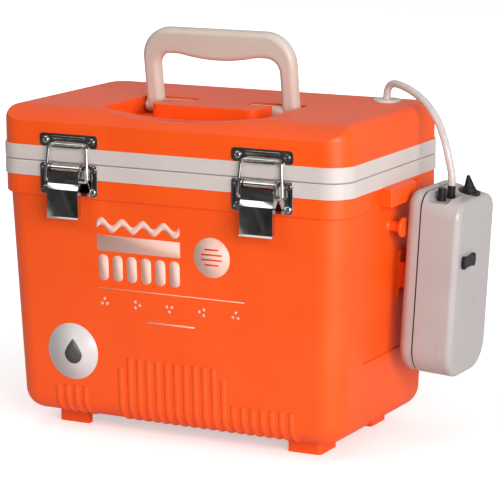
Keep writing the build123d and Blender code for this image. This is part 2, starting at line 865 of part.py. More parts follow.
with BuildPart() as handle_pins:
    for side in (-1, 1):
        with BuildSketch(Plane.YZ.offset(side * (handle_pin_inner + handle_pin_outer) / 2)):
            with Locations((handle_axis_y, handle_axis_z)):
                Circle(handle_pin_radius)
        extrude(amount=(handle_pin_outer - handle_pin_inner) / 2, both=True)
save(handle_pins.part, "handle_pins")


# --------------------------------------------------------------- latches
def front_plane(x, out=0.0):
    """A plane on the rim's front face, local x to the right and y up."""
    return Plane(origin=(x, -rim_half_y - out, 0), x_dir=(1, 0, 0), z_dir=(0, -1, 0))


def side_plane(x):
    """A plane across a latch, local x outwards from the rim and y up."""
    return Plane(origin=(x, -rim_half_y, 0), x_dir=(0, -1, 0), z_dir=(-1, 0, 0))


def cross_rod(x, out, height, radius, half_length):
    """A round bar along X, centred on x."""
    with BuildPart() as rod:
        with BuildSketch(side_plane(x)):
            with Locations((out, height)):
                Circle(radius)
        extrude(amount=half_length, both=True)
    return rod.part


def pan_screws(spots, x, face_out):
    """Pan-head screws in the front face, their heads on a sheet whose face is at face_out."""
    with BuildPart() as screws:
        with BuildSketch(front_plane(x, face_out)):
            with Locations(*spots):
                Circle(screw_head_radius)
        extrude(amount=screw_head_height)
        fillet(screws.faces().sort_by(Axis.Y)[0].edges(), 0.9)
        for face in screws.faces().group_by(Axis.Y)[0]:
            with BuildSketch(Plane(origin=face.center(), x_dir=(1, 0, 0), z_dir=(0, -1, 0))):
                Rectangle(2.4, 0.6)
                Rectangle(0.6, 2.4)
            extrude(amount=-0.8, mode=Mode.SUBTRACT)
        with BuildSketch(front_plane(x, face_out)):
            with Locations(*spots):
                Circle(screw_shank_radius)
        extrude(amount=-screw_shank_length)
    return screws.part


lever_axis = (lever_axis_out, lever_axis_height)
eye_axis = (lever_axis_out - eye_in, lever_axis_height - eye_drop)
keeper_face = sheet - band_proud
base_screw_spots = []
for spot_x in (-screw_spacing_x / 2, screw_spacing_x / 2):
    for spot_z in (base_plate_low + base_screw_up, base_plate_low + base_screw_up + screw_spacing_z):
        base_screw_spots.append((spot_x, spot_z))


def latch_base(x):
    """Fixed plate with its tab rolled into the lever's knuckle."""
    with BuildPart() as base:
        with BuildSketch(front_plane(x)):
            with Locations((0, (base_plate_low + base_plate_high) / 2)):
                RectangleRounded(base_plate_width, base_plate_high - base_plate_low, plate_corner)
            with Locations(*base_screw_spots):
                Circle(screw_hole_radius, mode=Mode.SUBTRACT)
        extrude(amount=sheet)
        with BuildSketch(side_plane(x)):
            with Locations((0.5, base_plate_high - sheet)):
                Rectangle(lever_axis_out - 0.5, sheet, align=(Align.MIN, Align.MIN))
            with Locations(lever_axis):
                Circle(lever_knuckle_radius)
        extrude(amount=lever_knuckle_half, both=True)
        add(cross_rod(x, *lever_axis, lever_pin_radius, lever_width), mode=Mode.SUBTRACT)
    return base.part


def latch_lever(x):
    """Folded lever: a bent plate between two ears that turn on the pin."""
    half = lever_width / 2
    with BuildPart() as lever:
        outline = [
            (lever_upper_out, lever_top),
            (lever_upper_out, lever_bend_top),
            (lever_lower_out, lever_bend_low),
            (lever_lower_out, lever_low + 1.3),
            (lever_lower_out + 1.4, lever_low),
        ]
        inner = [(n - sheet, z) for n, z in reversed(outline)]
        with BuildSketch(side_plane(x)):
            with BuildLine():
                Polyline(*outline, *inner, close=True)
            make_face()
        extrude(amount=half, both=True)
        top_edges = lever.edges().filter_by(Axis.Y).group_by(Axis.Z)[-1]
        fillet(top_edges, 3.0)
        for end in (-1, 1):
            ear_plane = side_plane(x + end * (half - sheet / 2))
            with BuildSketch(ear_plane):
                with Locations(lever_axis):
                    Circle(ear_radius)
                with Locations(eye_axis):
                    Circle(eye_radius)
                with BuildLine():
                    Polyline(
                        (lever_axis_out - ear_radius + 0.05, lever_axis_height - 0.6),
                        (eye_axis[0] - eye_radius + 0.02, eye_axis[1]),
                        (eye_axis[0] - eye_radius + 0.8, eye_axis[1] - 1.9),
                        (lever_lower_out - 4.7, lever_bend_low - 2.0),
                        (lever_lower_out - 4.7, lever_low + 2.2),
                        (lever_lower_out - 0.2, lever_low + 1.5),
                        (lever_lower_out - 0.2, lever_bend_low),
                        (lever_upper_out - 0.2, lever_bend_top),
                        (lever_upper_out - 0.2, lever_top - 0.6),
                        (lever_axis_out + ear_radius - 0.05, lever_axis_height),
                        close=True,
                    )
                make_face()
                with Locations(lever_axis):
                    Circle(lever_pin_radius + running_gap, mode=Mode.SUBTRACT)
                with Locations(eye_axis):
                    Circle(bail_wire_radius + running_gap, mode=Mode.SUBTRACT)
            extrude(amount=sheet / 2, both=True)
    return lever.part


def latch_bail(x):
    """Bent wire loop from the lever's ears up to the bar in the keeper."""
    bar = (bail_bar_out, keeper_low + sheet + bail_seat_gap + bail_wire_radius)
    length = hypot(bar[0] - eye_axis[0], bar[1] - eye_axis[1])
    foot = side_plane(x).from_local_coords(Vector(eye_axis[0], eye_axis[1], 0))
    head = side_plane(x).from_local_coords(Vector(bar[0], bar[1], 0))
    up = (head - foot).normalized()
    wire_plane = Plane(origin=foot, x_dir=(1, 0, 0), z_dir=Vector(1, 0, 0).cross(up))
    inside = lever_width / 2 - 2.1
    with BuildPart() as bail:
        with BuildLine(wire_plane) as path:
            FilletPolyline(
                (-inside, 0),
                (-bail_half_base, 0),
                (-bail_half_top, length),
                (bail_half_top, length),
                (bail_half_base, 0),
                (inside, 0),
                radius=[2.2, bail_corner, bail_corner, 2.2],
            )
        with BuildSketch(Plane(origin=path.line @ 0, z_dir=path.line % 0)):
            Circle(bail_wire_radius)
        sweep()
    return bail.part


def latch_keeper(x):
    """Plate on the lid with a pressed ridge and the low ledge that holds the bail's bar."""
    with BuildPart() as keeper:
        with BuildSketch(front_plane(x, keeper_face - sheet)):
            with Locations((0, keeper_low + keeper_height / 2)):
                RectangleRounded(base_plate_width, keeper_height, plate_corner)
            with Locations(*keeper_screw_spots):
                Circle(screw_hole_radius, mode=Mode.SUBTRACT)
        extrude(amount=sheet)
        with BuildSketch(side_plane(x)):
            with Locations((keeper_face - 0.5, keeper_low)):
                Rectangle(keeper_ledge_reach + 0.5, sheet, align=(Align.MIN, Align.MIN))
        extrude(amount=keeper_ledge_half, both=True)
        with BuildSketch(front_plane(x, keeper_face - 0.2)):
            with Locations((0, keeper_low + 7.6)):
                SlotOverall(30.0, 2.2)
        extrude(amount=0.8, taper=25)
    return keeper.part


for side, sign in sides.items():
    place = sign * latch_x
    save(latch_base(place), f"{side}_latch_base")
    save(pan_screws(base_screw_spots, place, sheet), f"{side}_base_screws")
    with BuildPart() as lever_pin:
        add(cross_rod(place, *lever_axis, lever_pin_radius, lever_width / 2 + 0.4))
        for end in (-1, 1):
            add(cross_rod(place + end * (lever_width / 2 + 0.75), *lever_axis, 2.2, 0.45))
    save(lever_pin.part, f"{side}_lever_pin")
    lever_part = latch_lever(place)
    save(lever_part, f"{side}_lever")
    bail_part = latch_bail(place)
    save(bail_part, f"{side}_bail")
    keeper_part = latch_keeper(place)
    save(keeper_part, f"{side}_keeper")
    save(pan_screws(keeper_screw_spots, place, keeper_face), f"{side}_keeper_screws")
    print(side, "lever", lever_part.volume, "bail", bail_part.volume, "keeper", keeper_part.volume)
    print(bail_part.bounding_box())

# ----------------------------------------------------------- strap posts
with BuildPart() as right_post:
    with BuildSketch(end_plane(post_height_on_wall, -panel_depth)):
        Circle(post_neck_radius)
    extrude(amount=post_neck_length)
    with BuildSketch(end_plane(post_height_on_wall, -panel_depth)):
        Circle(post_neck_radius + 1.6)
    extrude(amount=1.6, taper=40)
    with BuildSketch(end_plane(post_height_on_wall, post_neck_length - panel_depth)):
        Circle(post_head_radius)
    extrude(amount=post_head_thick)
    fillet(right_post.faces().sort_by(Axis.X)[-1].edges(), 1.2)
save(right_post.part, "right_strap_post")
print("strap post", right_post.part.volume, right_post.part.bounding_box())
with BuildPart() as left_post:
    mirror(right_post.part, about=Plane.YZ)
save(left_post.part, "left_strap_post")

# -------------------------------------------------------------- air pump
pump_lean_rad = radians(pump_lean)
pump_up = Vector(sin(pump_lean_rad), 0, cos(pump_lean_rad))
pump_out = Vector(cos(pump_lean_rad), 0, -sin(pump_lean_rad))
pump_centre = Vector(wall_half_x(pump_centre_z) + pump_standoff, pump_y, pump_centre_z)


def pump_point(u, v, w):
    """A point of the pump: u along +Y, v up its face, w out from its back."""
    return pump_centre + Vector(0, u, 0) + pump_up * v + pump_out * w


def pump_face(w, u=0.0, v=0.0):
    """A plane parallel to the pump's back."""
    return Plane(origin=pump_point(u, v, w), x_dir=(0, 1, 0), z_dir=pump_out)


def pump_level(v, u=0.0, w=0.0):
    """A plane across the pump, its normal up the pump, local y outwards."""
    return Plane(origin=pump_point(u, v, w), x_dir=(0, -1, 0), z_dir=pump_up)


def pump_top(w):
    """Height up the pump of its sloping top, w out from its back."""
    return pump_height / 2 - pump_top_slope * (w - pump_top_mid_w)


def pump_outline(w, inset):
    """Front view of the pump at depth w: square shoulders and a rounder foot."""
    high = pump_top(w) - inset
    low = inset - pump_height / 2
    with BuildSketch() as outline:
        with Locations((0, (high + low) / 2)):
            Rectangle(pump_width - 2 * inset, high - low)
        fillet(outline.vertices().group_by(Axis.Y)[-1], pump_top_corner - inset)
        fillet(outline.vertices().group_by(Axis.Y)[0], pump_low_corner - inset)
    return outline.sketch


def pump_slab(start, end, inset):
    """The pump's body between two depths, its outline inset on all sides."""
    with BuildPart() as slab:
        for w in (start, end):
            with BuildSketch(pump_face(w)):
                add(pump_outline(w, inset))
        loft(ruled=True)
    return slab.part


def notch_channel(grow):
    """The channel across the top where the nozzles stand, open at the pump's left side."""
    across = Plane(origin=pump_point(notch_end_u + grow, 0, 0), x_dir=pump_out, z_dir=(0, -1, 0))
    with BuildPart() as channel:
        with BuildSketch(across):
            with Locations((notch_mid_w, notch_floor - grow)):
                RectangleRounded(
                    2 * (notch_half + grow), 40.0, notch_corner, align=(Align.CENTER, Align.MIN)
                )
        extrude(amount=pump_width)
    return channel.part


with BuildPart() as pump_back_shell:
    add(pump_slab(0.0, pump_back_depth, 0.0))
    back_face = pump_back_shell.faces().sort_by_distance(pump_point(0, 0, 0))[0]
    fillet(back_face.edges(), pump_back_edge)
    add(pump_slab(pump_wall, pump_back_depth, pump_wall + 3.0), mode=Mode.SUBTRACT)
save(pump_back_shell.part, "pump_back_shell")

seal_end = pump_back_depth + pump_seal_thick
with BuildPart() as pump_seal:
    add(pump_slab(pump_back_depth, seal_end, pump_seal_inset))
    add(pump_slab(pump_back_depth, seal_end, pump_seal_inset + 2.4), mode=Mode.SUBTRACT)
save(pump_seal.part, "pump_seal")

top_lean = atan2(pump_top_slope, 1)
top_normal = pump_up * cos(top_lean) + pump_out * sin(top_lean)
toggle_seat = Plane(
    origin=pump_point(toggle_u, pump_top(toggle_w), toggle_w), x_dir=(0, 1, 0), z_dir=top_normal
)

with BuildPart() as pump_inside:
    add(pump_slab(seal_end, pump_depth - pump_wall, pump_wall))
    add(notch_channel(pump_wall), mode=Mode.SUBTRACT)

with BuildPart() as pump_front_shell:
    add(pump_slab(seal_end, pump_depth, 0.0))
    front_face = pump_front_shell.faces().sort_by_distance(pump_point(0, 0, pump_depth))[0]
    fillet(front_face.edges(), pump_front_edge)
    add(notch_channel(0.0), mode=Mode.SUBTRACT)
    add(pump_inside.part, mode=Mode.SUBTRACT)
    # Hole for the switch's ball
    with BuildSketch(toggle_seat.offset(2.0)):
        Circle(toggle_ball + 0.5)
    extrude(amount=-8.0, mode=Mode.SUBTRACT)
print("pump_front_shell", pump_front_shell.part.volume, len(pump_front_shell.solids()))
print(pump_front_shell.part.bounding_box())
save(pump_front_shell.part, "pump_front_shell")


def nozzle(u, w, height):
    """A hose nozzle that stands on the floor of the notch."""
    with BuildPart() as stem:
        with BuildSketch(pump_level(notch_floor, u, w)):
            Circle(nozzle_radius + 0.5)
        extrude(amount=2.6)
        with BuildSketch(pump_level(notch_floor, u, w)):
            Circle(nozzle_radius)
        extrude(amount=height)
        fillet(stem.faces().sort_by_distance(pump_point(u, notch_floor + height, w))[0].edges(), 0.5)
        with BuildSketch(pump_level(notch_floor + height, u, w)):
            Circle(1.0)
        extrude(amount=-6, mode=Mode.SUBTRACT)
    return stem.part


hose_start = pump_point(nozzle_u, notch_floor + nozzle_height, nozzle_w)
save(nozzle(nozzle_u, nozzle_w, nozzle_height), "hose_nozzle")
save(nozzle(spare_nozzle_u, spare_nozzle_w, nozzle_height), "spare_nozzle")
print("hose start", hose_start)

with BuildPart() as switch_bezel:
    with BuildSketch(toggle_seat):
        Circle(bezel_radius)
        Circle(toggle_ball + 0.4, mode=Mode.SUBTRACT)
    extrude(amount=bezel_thick)
    rim = switch_bezel.faces().sort_by_distance(toggle_seat.origin + top_normal * 100)[0]
    chamfer(rim.edges().sort_by(SortBy.LENGTH)[-1], 0.6)
save(switch_bezel.part, "switch_bezel")

# Lever of the switch, thrown back towards the tub
throw = radians(toggle_throw)
toggle_plane = Plane(
    origin=toggle_seat.origin + top_normal,
    x_dir=(0, 1, 0),
    z_dir=pump_out * cos(throw) + pump_up * sin(throw),
)
with BuildPart() as toggle:
    with BuildSketch(toggle_plane):
        with BuildLine():
            shoulder_point = (toggle_ball * cos(radians(38)), toggle_ball * sin(radians(38)))
            tip_start = (toggle_tip, toggle_length - toggle_tip)
            tip_mid = (toggle_tip * cos(radians(45)), toggle_length - toggle_tip * (1 - sin(radians(45))))
            ThreePointArc((0, -toggle_ball), (toggle_ball, 0), shoulder_point)
            Line(shoulder_point, tip_start)
            ThreePointArc(tip_start, tip_mid, (0, toggle_length))
            Line((0, toggle_length), (0, -toggle_ball))
        make_face()
    revolve(axis=Axis(toggle_plane.origin, toggle_plane.y_dir))
save(toggle.part, "pump_toggle")
print("toggle pivot", toggle_plane.origin, toggle.part.volume)

# Quarter-turn knob on the front of the pump
knob_back_w = pump_depth + fit_gap + 0.4
with BuildPart() as pump_knob:
    with BuildSketch(pump_face(pump_depth + fit_gap, knob_u, knob_v)):
        Circle(knob_hub_radius)
    extrude(amount=1.0)
    with BuildSketch(pump_face(knob_back_w, knob_u, knob_v)):
        with BuildLine():
            end = knob_half - 1.6
            ThreePointArc((-end, -knob_end_half), (0, -knob_waist_half), (end, -knob_end_half))
            ThreePointArc((end, -knob_end_half), (knob_half, 0), (end, knob_end_half))
            ThreePointArc((end, knob_end_half), (0, knob_waist_half), (-end, knob_end_half))
            ThreePointArc((-end, knob_end_half), (-knob_half, 0), (-end, -knob_end_half))
        make_face()
        fillet(vertices(), 1.2)
    extrude(amount=knob_thick)
    knob_face = pump_knob.faces().sort_by_distance(pump_point(knob_u, knob_v, knob_back_w + knob_thick))[0]
    fillet(knob_face.edges(), 0.7)
print("pump_knob", pump_knob.part.volume, "axis", pump_point(knob_u, knob_v, pump_depth))
save(pump_knob.part, "pump_knob")

# Inside the pump
inside_w = pump_depth / 2 - 0.5
cell_base = cell_floor_gap - pump_height / 2
cell_step = cell_radius + cell_gap / 2
with BuildPart() as battery_cells:
    for cell_u in (-cell_step, cell_step):
        with BuildSketch(pump_level(cell_base, cell_u, inside_w)):
            Circle(cell_radius)
        extrude(amount=cell_length - 1.6)
        with BuildSketch(pump_level(cell_base + cell_length - 1.6, cell_u, inside_w)):
            Circle(3.4)
        extrude(amount=1.6)
save(battery_cells.part, "battery_cells")

motor_base = cell_base + cell_length + motor_gap
with BuildPart() as pump_motor:
    with BuildSketch(pump_level(motor_base, motor_u, inside_w)):
        Circle(motor_radius)
    extrude(amount=motor_length)
    with BuildSketch(pump_level(motor_base + motor_length, motor_u, inside_w)):
        Circle(1.5)
    extrude(amount=7.0)
save(pump_motor.part, "pump_motor")

chamber_base = notch_floor - chamber_drop
with BuildPart() as air_chamber:
    with BuildSketch(pump_level(chamber_base, chamber_u, inside_w)):
        RectangleRounded(chamber_width, chamber_depth, 4.0)
    extrude(amount=chamber_height)
    with BuildSketch(pump_level(chamber_base + chamber_height, chamber_u, inside_w)):
        Circle(4.0)
    extrude(amount=chamber_drop - chamber_height - pump_wall - 0.3)
save(air_chamber.part, "air_chamber")

# Hanger: a channel on the end wall and the tongue on the pump's back
hang_y = pump_y - 0.5
hang_z = pump_centre_z + 3.0


def wall_level(up):
    """A plane across the hanger, its normal up the end wall, local y outwards."""
    base = end_plane(hang_z, -panel_depth)
    origin = base.origin + Vector(0, hang_y, 0) + base.y_dir * up
    return Plane(origin=origin, x_dir=(0, -1, 0), z_dir=base.y_dir)


def wall_face(out):
    """A plane on the bottom of the end wall's panel, moved outwards."""
    base = end_plane(hang_z, -panel_depth + out)
    return Plane(origin=base.origin + Vector(0, hang_y, 0), x_dir=(0, 1, 0), z_dir=base.z_dir)


hanger_screw_spots = [(0, 3.8 - hanger_height / 2), (0, hanger_height / 2 - 3.8)]
with BuildPart() as pump_bracket:
    with BuildSketch(wall_face(0.0)):
        RectangleRounded(2 * hanger_half, hanger_height, 3.0)
        with Locations(*hanger_screw_spots):
            Circle(screw_hole_radius, mode=Mode.SUBTRACT)
    extrude(amount=hanger_sheet)
    with BuildSketch(wall_level(-hanger_rail / 2)):
        for rail in (-1, 1):
            with Locations((rail * (hanger_half - hanger_sheet / 2), 0.5)):
                Rectangle(hanger_sheet, hanger_reach - 0.5, align=(Align.CENTER, Align.MIN))
            with Locations((rail * (hanger_half - hanger_lip / 2), hanger_reach - hanger_sheet)):
                Rectangle(hanger_lip, hanger_sheet, align=(Align.CENTER, Align.MIN))
    extrude(amount=hanger_rail)
print("pump_bracket", pump_bracket.part.volume, len(pump_bracket.solids()))
save(pump_bracket.part, "pump_bracket")

with BuildPart() as bracket_screws:
    with BuildSketch(wall_face(hanger_sheet)):
        with Locations(*hanger_screw_spots):
            Circle(screw_head_radius + 0.6)
    extrude(amount=screw_head_height)
    with BuildSketch(wall_face(hanger_sheet)):
        with Locations(*hanger_screw_spots):
            Circle(screw_shank_radius)
    extrude(amount=-screw_shank_length)
save(bracket_screws.part, "bracket_screws")

with BuildPart() as pump_clip:
    with BuildSketch(wall_level(0.4 - hanger_rail / 2)):
        with Locations((0, hanger_sheet + fit_gap)):
            Rectangle(
                2 * (hanger_half - hanger_sheet - 0.5), tongue_thick, align=(Align.CENTER, Align.MIN)
            )
        with Locations((0, hanger_sheet + fit_gap + 1.0)):
            Rectangle(
                2 * (hanger_half - hanger_lip - 1.0), pump_standoff + 6.0, align=(Align.CENTER, Align.MIN)
            )
    extrude(amount=hanger_rail - 1.0)
    with BuildSketch(pump_face(0.0)):
        Rectangle(pump_width, pump_height)
    extrude(amount=pump_depth, mode=Mode.SUBTRACT)
print("pump_clip", pump_clip.part.volume, len(pump_clip.solids()))
save(pump_clip.part, "pump_clip")


# ----------------------------------------------------------------- hoses
def hose_path(points, name):
    """Straight runs joined by arcs as large as the runs allow."""
    vectors = [Vector(*point) for point in points]
    runs = [(b - a) for a, b in zip(vectors, vectors[1:])]
    radii = []
    turns = []
    for before, after in zip(runs, runs[1:]):
        turn = before.get_angle(after)
        turns.append(round(turn, 1))
        radii.append(0.45 * min(before.length, after.length) / tan(radians(turn) / 2))
    print(name, "runs", [round(run.length, 1) for run in runs])
    print(name, "turns", turns)
    print(name, "radii", [round(radius, 1) for radius in radii])
    with BuildLine() as line:
        FilletPolyline(*vectors, radius=radii)
    return line.wires()[0]


def hose_tube(points, name):
    """A round hose along the points, closed at its ends."""
    path = hose_path(points, name)
    with BuildPart() as tube:
        with BuildSketch(Plane(origin=path @ 0, z_dir=path % 0)):
            Circle(hose_diameter / 2)
        sweep(path=path)
    print(name, "length", round(path.length, 1), "volume", round(tube.part.volume, 1))
    return tube.part


air_route = hose_points + [hose_start + pump_up * 7.5, hose_start + pump_up * hose_seat_gap]
air_route = [tuple(round(value, 2) for value in Vector(point)) for point in air_route]
print("air route", air_route)
save(hose_tube(air_route, "air_hose"), "air_hose")
save(hose_tube(inner_hose_points, "inner_hose"), "inner_hose")

stone_x, stone_y, stone_top = inner_hose_points[-1]
with BuildPart() as air_stone:
    with BuildSketch(Plane.XY.offset(stone_top)):
        with Locations((stone_x, stone_y)):
            Circle(stone_radius)
    extrude(amount=-stone_height)
    fillet(air_stone.edges(), 2.0)
    with BuildSketch(Plane.XY.offset(stone_top - 0.5)):
        with Locations((stone_x, stone_y)):
            Circle(stone_radius - 3.0)
    extrude(amount=0.5)
save(air_stone.part, "air_stone")


# --------------------------------------------------------------- writing
# The origin goes on the floor, under the middle of everything but the hose
boxes = [piece.bounding_box() for name, piece in pieces.items() if name != "air_hose"]
middle_x = (min(box.min.X for box in boxes) + max(box.max.X for box in boxes)) / 2
middle_y = (min(box.min.Y for box in boxes) + max(box.max.Y for box in boxes)) / 2
to_origin = Vector(-round(middle_x, 2), -round(middle_y, 2), 0)
print("moved by", to_origin)
for name, piece in pieces.items():
    placed = piece.translate(to_origin, transform=True)
    placed.label = name
    export_step(placed, f"parts/{name}.step")
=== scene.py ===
import bpy
import bmesh
import json
from math import atan2, cos, pi, radians, sin
from mathutils import Matrix, Vector


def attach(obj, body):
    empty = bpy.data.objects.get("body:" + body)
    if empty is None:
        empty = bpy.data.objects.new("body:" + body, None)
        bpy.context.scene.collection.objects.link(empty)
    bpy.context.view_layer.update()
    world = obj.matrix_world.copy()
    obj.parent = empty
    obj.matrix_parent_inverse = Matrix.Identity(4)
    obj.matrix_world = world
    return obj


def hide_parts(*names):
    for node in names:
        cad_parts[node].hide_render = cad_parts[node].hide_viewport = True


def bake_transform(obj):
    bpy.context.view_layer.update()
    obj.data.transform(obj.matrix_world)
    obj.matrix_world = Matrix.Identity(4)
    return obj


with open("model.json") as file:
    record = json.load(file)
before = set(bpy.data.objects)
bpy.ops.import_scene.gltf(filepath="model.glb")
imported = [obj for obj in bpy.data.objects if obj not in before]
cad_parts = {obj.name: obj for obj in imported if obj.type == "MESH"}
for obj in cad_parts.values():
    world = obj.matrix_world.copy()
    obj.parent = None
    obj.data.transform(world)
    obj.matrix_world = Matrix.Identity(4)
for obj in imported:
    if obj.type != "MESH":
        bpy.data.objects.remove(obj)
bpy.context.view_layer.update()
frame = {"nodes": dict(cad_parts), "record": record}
scene = bpy.context.scene
scene.view_settings.view_transform = "Standard"

# Middle of the tub, about which everything here is placed
TUB = Vector((-0.0238, 0.00065, 0.0))


# ------------------------------------------------------------------ camera
CAMERA_TURN, CAMERA_RISE, CAMERA_ROLL = radians(27.84), radians(11.32), radians(-0.297)
CAMERA_AWAY = 1.996872
AIM_SIDEWAYS, AIM_HEIGHT = 0.022746, 0.139629
SENSOR_WIDTH = 36.0
FOCAL_PIXELS, PICTURE_PIXELS = 2498.67, 500.0


def place_camera():
    """Camera whose place, lens and roll suit a three-quarter view from the right."""
    turn, rise, roll = CAMERA_TURN, CAMERA_RISE, CAMERA_ROLL
    back = Vector((sin(turn) * cos(rise), -cos(turn) * cos(rise), sin(rise)))
    right = Vector((cos(turn), sin(turn), 0.0))
    up = back.cross(right)
    rolled_right = right * cos(roll) + up * sin(roll)
    rolled_up = up * cos(roll) - right * sin(roll)
    look_at = TUB + right * AIM_SIDEWAYS + Vector((0, 0, AIM_HEIGHT))
    place = look_at + back * CAMERA_AWAY
    camera = bpy.data.objects.new("camera", bpy.data.cameras.new("camera"))
    scene.collection.objects.link(camera)
    camera.data.sensor_width = SENSOR_WIDTH
    camera.data.lens = FOCAL_PIXELS * SENSOR_WIDTH / PICTURE_PIXELS
    camera.data.clip_start = 0.05
    camera.data.clip_end = 50.0
    turn_matrix = Matrix((rolled_right, rolled_up, back)).transposed().to_4x4()
    camera.matrix_world = Matrix.Translation(place) @ turn_matrix
    scene.camera = camera


place_camera()


# ------------------------------------------------------------ node groups
def new_group(name, inputs, outputs):
    """A shader group with number inputs and named outputs."""
    group = bpy.data.node_groups.new(name, "ShaderNodeTree")
    for label, value in inputs:
        socket = group.interface.new_socket(label, in_out="INPUT", socket_type="NodeSocketFloat")
        socket.default_value = value
    for label, kind in outputs:
        group.interface.new_socket(label, in_out="OUTPUT", socket_type=kind)
    start = group.nodes.new("NodeGroupInput")
    end = group.nodes.new("NodeGroupOutput")
    return group, start, end


def math_node(tree, operation, *values, clamp=False):
    """A Math node with its inputs linked or set, in order."""
    node = tree.nodes.new("ShaderNodeMath")
    node.operation = operation
    node.use_clamp = clamp
    for socket, value in zip(node.inputs, values):
        if isinstance(value, (int, float)):
            socket.default_value = value
        else:
            tree.links.new(value, socket)
    return node.outputs[0]


def noise_node(tree, vector, scale, detail, roughness):
    """A noise texture whose scale comes from a socket."""
    node = tree.nodes.new("ShaderNodeTexNoise")
    node.inputs["Detail"].default_value = detail
    node.inputs["Roughness"].default_value = roughness
    tree.links.new(vector, node.inputs["Vector"])
    tree.links.new(scale, node.inputs["Scale"])
    return node.outputs["Fac"]


def build_moulded_grain():
    """Fine grain of a moulded surface, with broad unevenness in its tone."""
    group, start, end = new_group(
        "moulded_grain",
        [("Grain size", 900.0), ("Unevenness size", 14.0)],
        [("Height", "NodeSocketFloat"), ("Tone", "NodeSocketFloat"), ("Polish", "NodeSocketFloat")],
    )
    where = group.nodes.new("ShaderNodeTexCoord").outputs["Object"]
    fine = noise_node(group, where, start.outputs["Grain size"], 2.0, 0.6)
    cells = group.nodes.new("ShaderNodeTexVoronoi")
    cells.feature = "SMOOTH_F1"
    group.links.new(where, cells.inputs["Vector"])
    group.links.new(start.outputs["Grain size"], cells.inputs["Scale"])
    mixed = math_node(group, "ADD", math_node(group, "MULTIPLY", fine, 0.6),
                      math_node(group, "MULTIPLY", cells.outputs["Distance"], 0.4))
    broad = noise_node(group, where, start.outputs["Unevenness size"], 4.0, 0.6)
    group.links.new(mixed, end.inputs["Height"])
    group.links.new(broad, end.inputs["Tone"])
    group.links.new(math_node(group, "MULTIPLY", fine, broad), end.inputs["Polish"])
    return group


def build_fine_scratches():
    """Hairline scratches in two directions, as on handled metal and plastic."""
    group, start, end = new_group(
        "fine_scratches",
        [("Size", 60.0), ("Stretch", 24.0), ("Amount", 0.5)],
        [("Mask", "NodeSocketFloat"), ("Height", "NodeSocketFloat")],
    )
    where = group.nodes.new("ShaderNodeTexCoord").outputs["Object"]
    masks = []
    for angle in (0.35, -0.8):
        turned = group.nodes.new("ShaderNodeMapping")
        turned.inputs["Rotation"].default_value = (angle, angle * 0.6, angle)
        group.links.new(where, turned.inputs["Vector"])
        split = group.nodes.new("ShaderNodeSeparateXYZ")
        group.links.new(turned.outputs[0], split.inputs[0])
        joined = group.nodes.new("ShaderNodeCombineXYZ")
        stretched = math_node(group, "MULTIPLY", split.outputs["X"], start.outputs["Stretch"])
        group.links.new(stretched, joined.inputs["X"])
        group.links.new(split.outputs["Y"], joined.inputs["Y"])
        group.links.new(math_node(group, "MULTIPLY", split.outputs["Z"], 2.0), joined.inputs["Z"])
        lines = noise_node(group, joined.outputs[0], start.outputs["Size"], 2.0, 0.5)
        masks.append(math_node(group, "GREATER_THAN", lines, 0.66))
    both = math_node(group, "MAXIMUM", masks[0], masks[1])
    shown = math_node(group, "MULTIPLY", both, start.outputs["Amount"])
    group.links.new(shown, end.inputs["Mask"])
    group.links.new(math_node(group, "MULTIPLY", shown, -1.0), end.inputs["Height"])
    return group


grain_group = build_moulded_grain()
scratch_group = build_fine_scratches()


# -------------------------------------------------------------- materials
BUMP_DEPTH = 0.0003


def place_group(tree, group, **values):
    node = tree.nodes.new("ShaderNodeGroup")
    node.node_tree = group
    for label, value in values.items():
        node.inputs[label.replace("_", " ")].default_value = value
    return node


def ramp_between(tree, fac, low, high, low_at=0.3, high_at=0.7):
    """A colour that runs from low to high as fac goes from low_at to high_at."""
    ramp = tree.nodes.new("ShaderNodeValToRGB")
    ramp.color_ramp.elements[0].position = low_at
    ramp.color_ramp.elements[1].position = high_at
    ramp.color_ramp.elements[0].color = (*low, 1.0)
    ramp.color_ramp.elements[1].color = (*high, 1.0)
    tree.links.new(fac, ramp.inputs["Fac"])
    return ramp.outputs["Color"]


def range_between(tree, fac, low, high):
    """A number from low to high over fac's middle range."""
    node = tree.nodes.new("ShaderNodeMapRange")
    node.inputs["From Min"].default_value = 0.25
    node.inputs["From Max"].default_value = 0.75
    node.inputs["To Min"].default_value = low
    node.inputs["To Max"].default_value = high
    tree.links.new(fac, node.inputs["Value"])
    return node.outputs["Result"]


def start_material(name, **constants):
    material = bpy.data.materials.new(name)
    material.use_nodes = True
    tree = material.node_tree
    shader = tree.nodes["Principled BSDF"]
    for label, value in constants.items():
        shader.inputs[label.replace("_", " ")].default_value = value
    return material, tree, shader


def add_bump(tree, shader, height, strength):
    bump = tree.nodes.new("ShaderNodeBump")
    bump.inputs["Strength"].default_value = strength
    bump.inputs["Distance"].default_value = BUMP_DEPTH
    tree.links.new(height, bump.inputs["Height"])
    tree.links.new(bump.outputs["Normal"], shader.inputs["Normal"])


